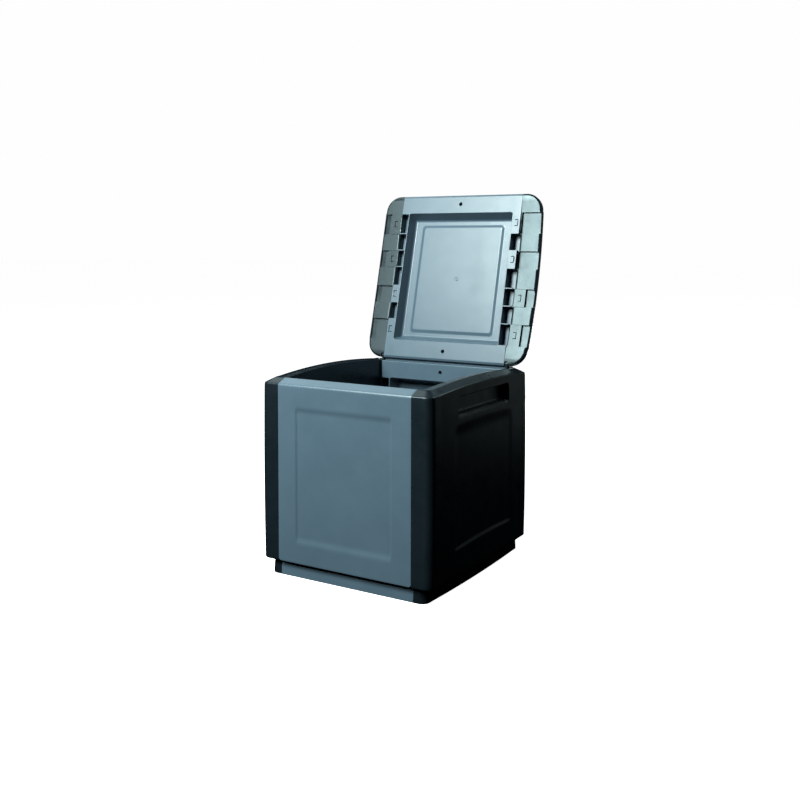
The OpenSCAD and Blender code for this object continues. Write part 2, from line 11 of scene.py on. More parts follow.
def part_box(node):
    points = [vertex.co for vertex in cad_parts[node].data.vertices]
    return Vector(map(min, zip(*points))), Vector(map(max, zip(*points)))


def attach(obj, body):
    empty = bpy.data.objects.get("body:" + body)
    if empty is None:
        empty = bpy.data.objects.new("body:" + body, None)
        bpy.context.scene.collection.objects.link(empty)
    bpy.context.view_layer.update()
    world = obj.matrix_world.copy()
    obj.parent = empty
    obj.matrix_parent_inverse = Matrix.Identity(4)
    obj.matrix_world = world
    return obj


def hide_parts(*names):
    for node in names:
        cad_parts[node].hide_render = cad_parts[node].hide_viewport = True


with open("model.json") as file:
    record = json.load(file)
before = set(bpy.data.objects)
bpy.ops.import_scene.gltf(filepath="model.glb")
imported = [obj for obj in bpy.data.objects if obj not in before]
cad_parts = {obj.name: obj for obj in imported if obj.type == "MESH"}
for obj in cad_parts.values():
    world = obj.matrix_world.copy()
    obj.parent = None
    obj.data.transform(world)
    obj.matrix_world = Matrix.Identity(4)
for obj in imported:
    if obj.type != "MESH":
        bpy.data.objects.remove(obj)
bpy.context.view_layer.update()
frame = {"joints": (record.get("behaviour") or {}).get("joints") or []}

MM = 0.001

# Sizes read from the frame
panel_lo, panel_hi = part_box("front_panel")
side_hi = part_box("right_side_panel")[1]
base_lo, base_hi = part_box("base_right_end")
pin_lo, pin_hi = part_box("hinge_pin_right")
hinge = frame["joints"][0]
AXIS = Vector(hinge["pos_m"])
OPEN_ANGLE = math.radians(hinge["range_deg"][1])

# Shared outline of the trunk
SEAM = panel_hi.x
SEAM_GAP = 0.3 * MM
END_X = SEAM + SEAM_GAP
HALF_D = -panel_lo.y
INNER_Y = -panel_hi.y
RIM_Z = panel_hi.z
WALL_Z = panel_lo.z
BOW = 6 * MM
SIDE_BOW = 3.8 * MM
HALF_W = side_hi.x - SIDE_BOW
BELLY = 2.6 * MM
CORNER_R = 22 * MM
RIM_SHRINK = 0.4
ARCH = 11 * MM
ARCH_REACH = 242 * MM
INNER_X = side_hi.x - 58.2 * MM

# Bevel of the rim, and the ledge inside it
BEVEL_RUN = 30 * MM
BEVEL_DROP = 14 * MM
SIDE_RUN = 24 * MM
BEVEL_SOFT = 3 * MM
LEDGE_RUN = 3 * MM
LEDGE_DROP = 4 * MM
FOLD_Z = RIM_Z - BEVEL_DROP
WALL_MID = (WALL_Z + RIM_Z) / 2

# How far a cutting tool sticks out, how far a latch rib reaches each way, the finish of edges
OVERCUT = 5 * MM
SMALL_OVERCUT = 1 * MM
RIB_HALF = 1.25 * MM
FLAT_AREA = 100 * MM * MM
SHARP_ANGLE = 40
ROUND_STEPS = 4

# Inside of the walls; every row of latches shares out the length of a hollow
WALL_FILLETS = (1.5 * MM, 3 * MM, 9 * MM, 1.5 * MM, 1 * MM, 2 * MM)
WALL_END_R = 1.0 * MM
FIELD_DEPTH = 3 * MM
TUB_TOP = RIM_Z - 57 * MM
TUB_FOOT = WALL_Z + 46 * MM
TUB_HALF_W = 181 * MM
TUB_DEPTH = 46 * MM
TUB_CORNER_R = 8 * MM
TUB_MOUTH = 1.5 * MM
TUB_FLOOR_R = 6 * MM
TUB_LEAN = 9 * MM
TUB_END_LEAN = 15 * MM
SIDE_TUB_HALF = 216 * MM
SIDE_TUB_TOP = 446 * MM
SIDE_TUB_DEPTH = 38 * MM
HOLE_R = 6 * MM
HOLE_Z = RIM_Z - 29 * MM
HOLE_DEPTH = 30 * MM
ROW_SHARE = (64, 53, 53, 60, 53, 53, 64)
ROWS = len(ROW_SHARE)
LATCH_X = TUB_HALF_W + 2.5 * MM
LATCH_DEPTH = 40 * MM
FOOT_CUT_W = 8 * MM
FOOT_CUT_H = 9 * MM
FOOT_CUT_D = 18 * MM
# Height of the side's arch: it starts at the foot and grows towards the rim
FOOT_ARCH = 12 * MM
FOOT_ARCH_RISE = 60 * MM
ARCH_START_Z = 99 * MM
ARCH_RUN = RIM_Z - 160 * MM

# Hand grip
GRIP_BACK = side_hi.x - 25 * MM
GRIP_TOP = RIM_Z - 30 * MM
GRIP_FOOT = RIM_Z - 71 * MM
GRIP_HALF = 152 * MM
GRIP_DEPTH = 23 * MM
GRIP_MOUTH = 3 * MM
GRIP_FLOOR_R = 4 * MM
GRIP_FLOOR_START = 0.86
GRIP_FALL = 10 * MM
GRIP_CORNER_R = 12 * MM

# Hinge: arms on the sides, notches and seats in the lid
ARM_X0 = 211 * MM
ARM_X1 = 218 * MM
ARM_HALF_W = 5.5 * MM
ARM_CHAMFER = 0.6 * MM
ARM_DEPTH = 14 * MM
EYE_R = 3.08 * MM
PIN_R = 3 * MM
PIN_CHAMFER = 0.5 * MM
SEAT_R = 3.03 * MM
SEAT_X0 = 197 * MM
SEAT_X1 = 232 * MM
NOTCH_X0 = 210.2 * MM
NOTCH_X1 = 218.8 * MM
NOTCH_DEPTH = 13 * MM
NOTCH_RISE = 7.3 * MM
BEAD_END = 14 * MM
BEAD_GAP = 2 * MM
# (y, height over the rim) in mm
BEAD_PROFILE = ((270.5, -6.5), (275.0, -0.3), (276.0, 0.0), (278.0, 0.0), (279.2, -0.5), (284.0, -13.0))

# Lid
LID_HALF_L = AXIS.y + 6.5 * MM
LID_HALF_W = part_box("lid_right_end")[1].x - BOW
LID_CORNER_R = 52 * MM
LID_H = 39 * MM
LID_EDGE = 22 * MM
LID_SIDE_EDGE = 20 * MM
LID_SIDE_SOFT = 4 * MM
LID_FILLETS = (2 * MM, 2 * MM, 10 * MM, 12 * MM, 12 * MM, 10 * MM, 1 * MM, 1 * MM)
LID_END_R = 0.8 * MM
LIP_RUN = 6 * MM
LIP_RISE = 3.5 * MM
# (height, inset) of the chamfered lip in mm
LIP_PROFILE = ((0.0, 6.0), (0.1, 5.5), (0.35, 5.0), (3.0, 0.5), (3.5, 0.12), (4.2, 0.0))
LID_Z = RIM_Z + 0.5 * MM
LID_BAND = 58 * MM
LID_TUB = 35 * MM
LID_TUB_HALF_L = LID_HALF_L - LID_BAND
LID_TUB_MOUTH = 1.2 * MM
LID_TUB_FLOOR_R = 5 * MM
LID_TUB_CORNER_R = 6 * MM
LID_HOLE_DEPTH = 20 * MM
LID_LATCH_DEPTH = 30 * MM
PAD_HALF_U = 146 * MM
PAD_HALF_V = 175.5 * MM
PAD_EDGE = 11.5 * MM
PAD_CORNER_R = 12 * MM
PAD_RISE = 3.5 * MM
TOP_FIELD_DEPTH = 2.6 * MM
FIELD_OVERLAP = 3 * MM
# (radius, depth) of the moulding mark's fine ring in mm
MARK_RING = ((4.4, -1.0), (6.8, -1.0), (6.2, 1.4), (5.0, 1.4))
MARK_DOT_R = 1.7 * MM

# Latch rows of the right seam, counted from the back; the left seam is the right one turned half round
PLATE_ROWS = (4, 6)
TONGUE_ROWS = (0, 2)
PLATE_SLOT_X = TUB_HALF_W + 16.5 * MM
TONGUE_SLOT_X = END_X + 21 * MM
PLATE_CELL_X = END_X + 2 * MM
TONGUE_CELL_X = END_X + 39 * MM
BLOCK_DEPTH = 12 * MM
BLOCK_R = 9 * MM
TONGUE_R = 4 * MM
SLOT_W = 11 * MM
SLOT_L = 21 * MM
SLOT_T = 2.4 * MM
SLOT_DEPTH = 6 * MM
LINE_HALF_W = 0.5 * MM
LINE_DEPTH = 2.5 * MM
# (distance in from the lip, height over the arch) of a cell's outer end in mm
LEFT_CELL_END = ((4, 0.5), (8, 3.5), (18, 8))
RIGHT_CELL_END = ((2, 1), (2, 4), (2, 8))

# Base
BASE_HALF_D = -base_lo.y
BASE_HALF_W = base_hi.x - BOW
BASE_TOP = base_hi.z
BASE_LEAN = 5 * MM
BASE_FOOT = 1.6 * MM
BASE_END_R = 1.0 * MM
BASE_BORDER = 9 * MM
BASE_ROOF = 4 * MM
BAYS_X = 5
BAYS_Y = 6
# (height, inset) of the base's face in mm
BASE_PROFILE = ((12, 0.3), (22, 0.8), (30, 1.3), (31.5, 1.7), (33, 4.4), (34, 5))


def smooth(t):
    """Soft step from 0 to 1."""
    t = np.clip(t, 0.0, 1.0)
    return t * t * (3 - 2 * t)


def soft_ramp(m, soft):
    """m where it is above 0, and 0 below, with a soft bend between."""
    return (m + math.hypot(m, soft)) / 2


def quarter(steps):
    """Angles of a quarter turn."""
    return [math.pi / 2 * k / steps for k in range(steps + 1)]


def arch(y):
    """Share of the rim's arch at depth y."""
    return max(0.0, 1 - (y / ARCH_REACH) ** 2)


def fillet(points, radii, steps=6):
    """A closed polygon with its corners rounded by the given radii."""
    out = []
    count = len(points)
    for i, (p, r) in enumerate(zip(points, radii)):
        p = Vector(p)
        if r <= 0:
            out.append(tuple(p))
            continue
        a = (Vector(points[i - 1]) - p).normalized()
        b = (Vector(points[(i + 1) % count]) - p).normalized()
        half = a.angle(b) / 2
        reach = r / math.tan(half)
        centre = p + (a + b).normalized() * (r / math.sin(half))
        start = p + a * reach - centre
        end = p + b * reach - centre
        turn = start.angle_signed(end)
        for k in range(steps + 1):
            out.append(tuple(centre + Matrix.Rotation(-turn * k / steps, 2) @ start))
    return out


def stretch(points, step):
    """The same closed polygon with its long sides divided."""
    out = []
    for i, p in enumerate(points):
        q = points[(i + 1) % len(points)]
        parts = max(1, math.ceil(math.dist(p, q) / step))
        out += [tuple(p[k] + (q[k] - p[k]) * j / parts for k in range(2)) for j in range(parts)]
    return out


def make(name, verts, faces):
    """A mesh object with its faces turned outwards."""
    mesh = bpy.data.meshes.new(name)
    mesh.from_pydata([tuple(v) for v in verts], [], faces)
    bm = bmesh.new()
    bm.from_mesh(mesh)
    bmesh.ops.remove_doubles(bm, verts=bm.verts, dist=1e-6)
    bmesh.ops.recalc_face_normals(bm, faces=bm.faces)
    bm.to_mesh(mesh)
    bm.free()
    obj = bpy.data.objects.new(name, mesh)
    bpy.context.scene.collection.objects.link(obj)
    return obj


def loft(name, rings):
    """A closed solid through rings of equally many points."""
    n = len(rings[0])
    verts = [p for ring in rings for p in ring]
    faces = []
    for k in range(len(rings) - 1):
        for i in range(n):
            j = (i + 1) % n
            faces.append((k * n + i, k * n + j, (k + 1) * n + j, (k + 1) * n + i))
    faces.append(tuple(range(n)))
    last = (len(rings) - 1) * n
    faces.append(tuple(range(last + n - 1, last - 1, -1)))
    return make(name, verts, faces)


def apply_modifiers(obj):
    """Bakes the object's modifiers into its mesh."""
    graph = bpy.context.evaluated_depsgraph_get()
    mesh = bpy.data.meshes.new_from_object(obj.evaluated_get(graph))
    old = obj.data
    obj.modifiers.clear()
    obj.data = mesh
    bpy.data.meshes.remove(old)


def combine(obj, others, operation):
    """One boolean with a list of solids, which are used up."""
    if not others:
        return obj
    group = bpy.data.collections.new("tools")
    bpy.context.scene.collection.children.link(group)
    for other in others:
        group.objects.link(other)
    mod = obj.modifiers.new("combine", "BOOLEAN")
    mod.operation = operation
    mod.solver = "EXACT"
    mod.operand_type = "COLLECTION"
    mod.collection = group
    bpy.context.view_layer.update()
    apply_modifiers(obj)
    for other in others:
        bpy.data.objects.remove(other)
    bpy.data.collections.remove(group)
    return obj


def cut(obj, tools):
    """Takes the tools away from the object."""
    return combine(obj, tools, "DIFFERENCE")


def join(obj, tools):
    """Adds the tools to the object."""
    return combine(obj, tools, "UNION")


def rounded(x0, x1, y0, y1, r, steps=5):
    """Points round a rectangle with round corners."""
    r = max(0.2 * MM, min(r, (x1 - x0) / 2 - 0.1 * MM, (y1 - y0) / 2 - 0.1 * MM))
    out = []
    corners = ((x1 - r, y1 - r, 0), (x0 + r, y1 - r, 90), (x0 + r, y0 + r, 180), (x1 - r, y0 + r, 270))
    for cx, cy, a0 in corners:
        for k in range(steps + 1):
            a = math.radians(a0 + 90 * k / steps)
            out.append((cx + r * math.cos(a), cy + r * math.sin(a)))
    return out


def pocket_steps(depth, mouth, floor, lean_x, lean_y):
    """(inset x, inset y, depth) from a rounded mouth down leaning walls to a rounded floor."""
    out = [(-mouth, -mouth, -3 * MM), (-mouth, -mouth, 0.0)]
    for a in quarter(ROUND_STEPS)[1:]:
        inset = -mouth * (1 - math.sin(a))
        out.append((inset, inset, mouth * (1 - math.cos(a))))
    for a in quarter(ROUND_STEPS):
        inset = floor * (1 - math.cos(a))
        d = depth - floor + floor * math.sin(a)
        share = d / depth
        out.append((lean_x * share + inset, lean_y * share + inset, d))
    return out


def pocket(name, x0, x1, y0, y1, r, steps, place):
    """A solid that cuts a pocket: rings of a rounded rectangle, set in space by place(x, y, depth)."""
    rings = []
    for inset_x, inset_y, d in steps:
        inset = min(inset_x, inset_y)
        ring = rounded(x0 + inset_x, x1 - inset_x, y0 + inset_y, y1 - inset_y, r - inset)
        rings.append([place(x, y, d) for x, y in ring])
    return loft(name, rings)


def block(name, lo, hi):
    """A plain box, used only to cut."""
    ring = lambda z: [(lo[0], lo[1], z), (hi[0], lo[1], z), (hi[0], hi[1], z), (lo[0], hi[1], z)]
    return loft(name, [ring(lo[2]), ring(hi[2])])


def barrel(name, a, b, r, chamfer=0.0, steps=40):
    """A round bar from a to b."""
    a, b = Vector(a), Vector(b)
    axis = (b - a).normalized()
    side = axis.orthogonal().normalized()
    up = axis.cross(side)
    stops = [(a, r - chamfer), (a + axis * chamfer, r), (b - axis * chamfer, r), (b, r - chamfer)]
    if not chamfer:
        stops = [(a, r), (b, r)]
    ring = lambda c, q: [c + (side * math.cos(t) + up * math.sin(t)) * q
                         for t in (2 * math.pi * k / steps for k in range(steps))]
    return loft(name, [ring(c, q) for c, q in stops])


def finish_mesh(obj, bevel=0.6 * MM, angle=35, segments=2):
    """Breaks the sharp edges that cuts left and shades the mesh smoothly."""
    bm = bmesh.new()
    bm.from_mesh(obj.data)
    bmesh.ops.remove_doubles(bm, verts=bm.verts, dist=2e-6)
    bmesh.ops.dissolve_degenerate(bm, edges=bm.edges, dist=1e-6)
    weight = bm.edges.layers.float.new("bevel_weight_edge")
    limit = math.radians(angle)
    for edge in bm.edges:
        if len(edge.link_faces) == 2 and edge.calc_face_angle(0) > limit and edge.calc_length() > bevel:
            edge[weight] = 1.0
    bm.to_mesh(obj.data)
    bm.free()
    if bevel:
        mod = obj.modifiers.new("edges", "BEVEL")
        mod.limit_method = "WEIGHT"
        mod.width = bevel
        mod.segments = segments
        mod.use_clamp_overlap = True
        mod.miter_outer = "MITER_ARC"
        bpy.context.view_layer.update()
        apply_modifiers(obj)
    shade(obj)


def shade(obj):
    """Smooth over rounds and bows, plain over the wide flats and what the cuts left of them."""
    obj.data.set_sharp_from_angle(angle=math.radians(SHARP_ANGLE))
    for face in obj.data.polygons:
        wide = face.area > FLAT_AREA or (len(face.vertices) > 4 and face.area > FLAT_AREA / 6)
        face.use_smooth = not wide


def turn_half(obj):
    """Turns a mesh half round about the upright axis."""
    obj.data.transform(Matrix.Rotation(math.pi, 4, "Z"))


def mirrored(obj, name):
    """A copy mirrored across the middle plane."""
    copy = bpy.data.objects.new(name, obj.data.copy())
    bpy.context.scene.collection.objects.link(copy)
    copy.data.transform(Matrix.Scale(-1, 4, (1, 0, 0)))
    copy.data.flip_normals()
    return copy


def spread(lo, hi, step, *zones):
    """Sorted stations from lo to hi, closer together inside each (a, b, step) zone."""
    stops = set(np.round(np.linspace(lo, hi, max(2, math.ceil((hi - lo) / step) + 1)), 7))
    for a, b, fine in zones:
        stops |= set(np.round(np.linspace(a, b, max(2, math.ceil((b - a) / fine) + 1)), 7))
    stops = sorted(s for s in stops if lo <= s <= hi)
    keep = [stops[0]]
    for s in stops[1:]:
        if s - keep[-1] > 0.4 * MM:
            keep.append(s)
    return keep


def outward(points):
    """Unit normals of a closed outline, pointing out of it."""
    tangent = np.roll(points, -1, 0) - np.roll(points, 1, 0)
    normal = np.stack([tangent[:, 1], -tangent[:, 0]], 1)
    normal /= np.linalg.norm(normal, axis=1)[:, None]
    centre = points.mean(0)
    if ((points + normal * MM - centre) ** 2).sum() < ((points - centre) ** 2).sum():
        normal = -normal
    return normal


def end_stations(middle, r):
    """Stations from seam to seam, with a small round of radius r at both ends."""
    ends = [r * (1 - math.cos(a)) for a in quarter(4)[:-1]]
    return [-SEAM + e for e in ends] + middle + [SEAM - e for e in reversed(ends)]


def end_inset(x, r):
    """How far the outline draws in at x for that round."""
    d = max(0.0, r - (SEAM - abs(x)))
    return r - math.sqrt(max(0.0, r ** 2 - d ** 2))


def field_share(u, v, half_u, v0, v1, edge_u, edge_v0, edge_v1):
    """A field with a soft border and round corners: 1 inside, 0 outside."""
    a = np.clip(1 - (half_u - abs(u)) / edge_u, 0, 1)
    low = np.clip(1 - (v - v0) / edge_v0, 0, 1)
    high = np.clip(1 - (v1 - v) / edge_v1, 0, 1)
    return float(smooth(1 - min(1.0, math.hypot(a, max(low, high)))))


PANEL_FIELD = dict(half_u=153 * MM, v0=97 * MM, v1=468 * MM,
                   edge_u=8 * MM, edge_v0=17 * MM, edge_v1=15 * MM)
# Where stations lie closer together to carry the field's borders: from, to, step
PANEL_BORDERS = ((-156 * MM, -144 * MM, 1.4 * MM), (144 * MM, 156 * MM, 1.4 * MM))


def wall_profile():
    """Closed outline of a grey wall in (y, z), clockwise from the inner foot."""
    crest = -HALF_D + BEVEL_RUN
    points = [(-INNER_Y, WALL_Z), (-HALF_D, WALL_Z), (-HALF_D, FOLD_Z), (crest, RIM_Z),
              (crest + LEDGE_RUN, RIM_Z - LEDGE_DROP), (-INNER_Y, RIM_Z - LEDGE_DROP)]
    return fillet(points, WALL_FILLETS)


def build_wall(name):
    """The front wall: a bevelled shell with its sunk field, hollow, hole, latches and foot corners."""
    outline = np.array(stretch(wall_profile(), 6 * MM))
    normal = outward(outline)
    middle = spread(-SEAM + WALL_END_R, SEAM - WALL_END_R, 8 * MM, *PANEL_BORDERS)
    rings = []
    for x in end_stations(middle, WALL_END_R):
        inset = end_inset(x, WALL_END_R)
        ring = []
        for (y, z), (ny, nz) in zip(outline, normal):
            push = 0.0
            if y < -HALF_D + 0.2 * MM:
                push = FIELD_DEPTH * field_share(x, z, **PANEL_FIELD)
            ring.append((x, y - ny * inset + push, z - nz * inset))
        rings.append(ring)
    wall = loft(name, rings)
    place = lambda u, v, d: (u, -INNER_Y - d, v)
    steps = pocket_steps(TUB_DEPTH, TUB_MOUTH, TUB_FLOOR_R, TUB_LEAN, TUB_END_LEAN)
    tub = pocket("tub", -TUB_HALF_W, TUB_HALF_W, TUB_FOOT, TUB_TOP, TUB_CORNER_R, steps, place)
    hole = barrel("hole", (0, -INNER_Y + OVERCUT, HOLE_Z), (0, -INNER_Y - HOLE_DEPTH, HOLE_Z), HOLE_R)
    tools = [tub, hole]
    tub_h = TUB_TOP - TUB_FOOT
    total = sum(ROW_SHARE)
    for side in (-1, 1):
        for i in range(ROWS):
            z0 = TUB_FOOT + tub_h * sum(ROW_SHARE[:i]) / total + RIB_HALF
            z1 = TUB_FOOT + tub_h * sum(ROW_SHARE[:i + 1]) / total - RIB_HALF
            a, b = sorted((side * LATCH_X, side * (SEAM + OVERCUT)))
            tools.append(block("latch", (a, -INNER_Y - LATCH_DEPTH, z0), (b, -INNER_Y + OVERCUT, z1)))
    out_x = SEAM + SMALL_OVERCUT
    out_z = WALL_Z - SMALL_OVERCUT
    for side in (-1, 1):
        corner = [(side * (SEAM - FOOT_CUT_W), out_z), (side * out_x, out_z)]
        corner.append((side * out_x, WALL_Z + FOOT_CUT_H))
        rings = [[(x, y, z) for x, z in corner] for y in (-HALF_D - OVERCUT, -HALF_D + FOOT_CUT_D)]
        tools.append(loft("corner", rings))
    cut(wall, tools)
    finish_mesh(wall)
    return wall


def rear_bead(x0, x1):
    """A low bead behind the back rim's crest, on which the open lid looks to rest."""
    return loft("bead", [[(x, y * MM, RIM_Z + z * MM) for y, z in BEAD_PROFILE] for x in (x0, x1)])


# Side, base and lid ends: an outline leaves the seam, rounds a corner, runs along the side and comes back
def face_inset(z):
    """How far the front and back faces draw in at height z."""
    return soft_ramp((z - FOLD_Z) * BEVEL_RUN / BEVEL_DROP, BEVEL_SOFT)


def belly_inset(z):
    """How far a side draws in above and below its fullest height."""
    return BELLY * ((z - WALL_MID) / ((RIM_Z - WALL_Z) / 2)) ** 2


def side_inset(z):
    """How far a side's face draws in at height z, belly and bevel together."""
    return belly_inset(z) + soft_ramp((z - FOLD_Z) * SIDE_RUN / BEVEL_DROP, BEVEL_SOFT)


SIDE_FIELD = dict(half_u=179 * MM, v0=101 * MM, v1=436 * MM,
                  edge_u=26 * MM, edge_v0=14 * MM, edge_v1=34 * MM)
SIDE_BORDERS_U = ((-180 * MM, -172 * MM, 1.5 * MM), (172 * MM, 180 * MM, 1.5 * MM))
SIDE_BORDERS_V = ((98 * MM, 130 * MM, 2.5 * MM), (430 * MM, 448 * MM, 2.5 * MM))
# Only this part of the side's outline can carry the field
FIELD_FROM_X = HALF_W - 20 * MM
FIELD_REACH_Y = 185 * MM
FOOT_R = 3 * MM
CREST_DROP = 0.8 * MM
# (depth below the rim, inset) over the crest and down to the ledge in mm
CREST_PROFILE = ((0.25, 0.3), (0.0, 0.9), (0.1, 1.4), (0.5, 1.9), (2.8, 2.5), (3.7, 2.8), (4.0, 3.3))


def end_path(width, bow, depth, corner, shrink, inset_f, inset_s, ys, arc_steps=12):
    """Outline points (x, y) from the front seam round the side to the back seam."""
    r = min(corner - shrink * inset_f, width - inset_s - END_X - 1 * MM)
    cx, cy = width - inset_s - r, depth - inset_f - r
    front = [(END_X + (cx - END_X) * t, -depth + inset_f) for t in (0.0, 0.1, 0.5, 0.93)]
    front += [(cx + r * math.sin(a), -cy - r * math.cos(a)) for a in quarter(arc_steps)]
    side = [(width + bow * arch(y) - inset_s, y) for y in ys]
    back = [(x, -y) for x, y in reversed(front)]
    return front + side + back


def end_solid(name, rings):
    """A closed solid through outlines that start and end on the seam plane, with its ends in strips."""
    n = len(rings[0])
    x0 = rings[0][0][0]
    verts = [p for ring in rings for p in ring]
    faces = [(k * n + i, k * n + i + 1, (k + 1) * n + i + 1, (k + 1) * n + i)
             for k in range(len(rings) - 1) for i in range(n - 1)]
    lanes = []
    for first in (0, (len(rings) - 1) * n):
        lane = list(range(len(verts), len(verts) + n))
        verts += [(x0, y, z) for x, y, z in verts[first:first + n]]
        faces += [(first + i, first + i + 1, lane[i + 1], lane[i]) for i in range(n - 1)]
        lanes.append(lane)
    low, high = lanes
    front = [k * n for k in range(len(rings))]
    back = [k * n + n - 1 for k in range(len(rings))]
    faces.append(tuple(front + high + back[::-1] + low[::-1]))
    return make(name, verts, faces)


def side_ring(z, outline_z, inset, ys):
    """The side panel's outline at height z, arched along the side, with the sunk field pressed in."""
    up = min(1.0, max(0.0, (z - ARCH_START_Z) / ARCH_RUN))
    low_arch = FOOT_ARCH * smooth((z - WALL_Z) / FOOT_ARCH_RISE)
    rise = low_arch + (ARCH - FOOT_ARCH) * up
    path = end_path(HALF_W, SIDE_BOW, HALF_D, CORNER_R, RIM_SHRINK, face_inset(outline_z) + inset,
                    side_inset(outline_z) + inset, ys)
    ring = []
    for x, y in path:
        if x > FIELD_FROM_X and abs(y) < FIELD_REACH_Y:
            x -= FIELD_DEPTH * field_share(y, z, **SIDE_FIELD)
        ring.append((x, y, z + rise * arch(y)))
    return ring


def build_side(name):
    """The right side panel: rounded corners, arched rim, hollow inner face and hand grip."""
    reach = ARCH_REACH - 2 * MM
    ys = spread(-reach, reach, 9 * MM, *SIDE_BORDERS_U)
    levels = [(WALL_Z + FOOT_R * (1 - math.cos(a)), FOOT_R * (1 - math.sin(a))) for a in quarter(4)]
    zs = spread(WALL_Z, FOLD_Z - 10 * MM, 10 * MM, *SIDE_BORDERS_V)
    levels += [(z, 0.0) for z in zs if z > WALL_Z + FOOT_R + 1 * MM]
    levels += [(z, 0.0) for z in np.linspace(FOLD_Z - 8 * MM, RIM_Z - CREST_DROP, 22)]
    rings = [side_ring(z, z, inset, ys) for z, inset in levels]
    # A small round over the crest, then the step down to the ledge
    for down, inset in CREST_PROFILE:
        rings.append(side_ring(RIM_Z - down * MM, RIM_Z - CREST_DROP, inset * MM, ys))
    side = end_solid(name, rings)
    # Inner face, bowed like the outside
    inner = []
    for z in (WALL_Z - OVERCUT, RIM_Z + 30 * MM):
        ring = [(END_X - OVERCUT, INNER_Y, z), (END_X - OVERCUT, -INNER_Y, z)]
        ring += [(INNER_X + BOW * arch(y), y, z) for y in np.linspace(-INNER_Y, INNER_Y, 25)]
        inner.append(ring)
    place = lambda u, v, d: (INNER_X + BOW * arch(u) + d, u, v)
    steps = pocket_steps(SIDE_TUB_DEPTH, TUB_MOUTH, TUB_FLOOR_R, TUB_END_LEAN, TUB_LEAN)
    tub = pocket("tub", -SIDE_TUB_HALF, SIDE_TUB_HALF, TUB_FOOT, SIDE_TUB_TOP, TUB_CORNER_R, steps, place)
    cut(side, [loft("inner", inner), tub])
    cut(side, [grip_tool()])
    finish_mesh(side, bevel=1.0 * MM)
    return side


def side_surface(y, z):
    """x of the side's outer face."""
    return HALF_W + SIDE_BOW * arch(y) - belly_inset(z)


def grip_tool():
    """Hand grip: a level roof, a ledge that falls outwards, round corners and a soft mouth."""
    stops = [(-GRIP_MOUTH, -4 * MM, 0.0)]
    for a in quarter(5):
        stops.append((-GRIP_MOUTH * (1 - math.sin(a)), GRIP_MOUTH * (1 - math.cos(a)), 0.0))
    for share in (0.35, 0.7, GRIP_FLOOR_START):
        stops.append((0.0, GRIP_DEPTH * share, share))
    for a in quarter(4)[1:]:
        share = GRIP_FLOOR_START + (1 - GRIP_FLOOR_START) * math.sin(a)
        stops.append((GRIP_FLOOR_R * (1 - math.cos(a)), GRIP_DEPTH * share, 1.0))
    rings = []
    for inset, depth, share in stops:
        foot = GRIP_FOOT - GRIP_FALL * (1 - share) + max(inset, 0.0) + min(inset, 0.0) * 3
        ring = rounded(-GRIP_HALF + inset, GRIP_HALF - inset, foot, GRIP_TOP - inset, GRIP_CORNER_R - inset)
        pts = []
        for y, z in ring:
            t = min(1.0, max(0.0, depth / GRIP_DEPTH))
            x = side_surface(y, z) * (1 - t) + GRIP_BACK * t
            if depth < 0:
                x -= depth
            pts.append((x, y, z))
        rings.append(pts)
    return loft("grip", rings)


def hinge_arm(name):
    """The right hinge arm with a round head, chamfered faces and the bored eye."""
    foot_z = RIM_Z - ARM_DEPTH
    ring = [(AXIS.y - ARM_HALF_W, foot_z), (AXIS.y + ARM_HALF_W, foot_z)]
    for k in range(21):
        a = math.pi * k / 20
        ring.append((AXIS.y + ARM_HALF_W * math.cos(a), AXIS.z + ARM_HALF_W * math.sin(a)))
    head_h = AXIS.z + ARM_HALF_W - RIM_Z
    faces = ((ARM_X0, ARM_CHAMFER), (ARM_X0 + ARM_CHAMFER, 0),
             (ARM_X1 - ARM_CHAMFER, 0), (ARM_X1, ARM_CHAMFER))
    rings = []
    for x, inset in faces:
        narrow = 1 - inset / ARM_HALF_W
        lower = inset / head_h
        rings.append([(x, AXIS.y + (y - AXIS.y) * narrow, z - max(0.0, z - RIM_Z) * lower) for y, z in ring])
    arm = loft(name, rings)
    a = (ARM_X0 - SMALL_OVERCUT, AXIS.y, AXIS.z)
    b = (ARM_X1 + SMALL_OVERCUT, AXIS.y, AXIS.z)
    cut(arm, [barrel("bore", a, b, EYE_R)])
    return arm


# Lid, built shut over the trunk and then swung open about the hinge
def swing(obj):
    """Opens a piece of the lid that was drawn shut."""
    turn = Matrix.Translation(AXIS) @ Matrix.Rotation(-OPEN_ANGLE, 4, "X") @ Matrix.Translation(-AXIS)
    obj.data.transform(turn)
    return obj


def lid_profile():
    """Closed outline of the lid's grey middle in (y, z)."""
    half, run = LID_HALF_L, BEVEL_RUN
    points = [(-half + LIP_RUN, LID_Z), (-half, LID_Z + LIP_RISE), (-half, LID_Z + LID_EDGE),
              (-half + run, LID_Z + LID_H), (half - run, LID_Z + LID_H), (half, LID_Z + LID_EDGE),
              (half, LID_Z + LIP_RISE), (half - LIP_RUN, LID_Z)]
    return fillet(points, LID_FILLETS)


def row_span(i):
    """(low, high) of latch row i along the lid, from the middle of the trunk."""
    total = sum(ROW_SHARE)
    length = 2 * LID_TUB_HALF_L
    at = lambda k: length * (0.5 - sum(ROW_SHARE[:k]) / total)
    return at(i + 1), at(i)


def turned_block(name, x0, x1, y0, y1, z0, z1, half_turn):
    """A plain box, turned half round about the upright axis for the left seam."""
    if half_turn:
        x0, x1, y0, y1 = -x1, -x0, -y1, -y0
    return block(name, (x0, y0, z0), (x1, y1, z1))


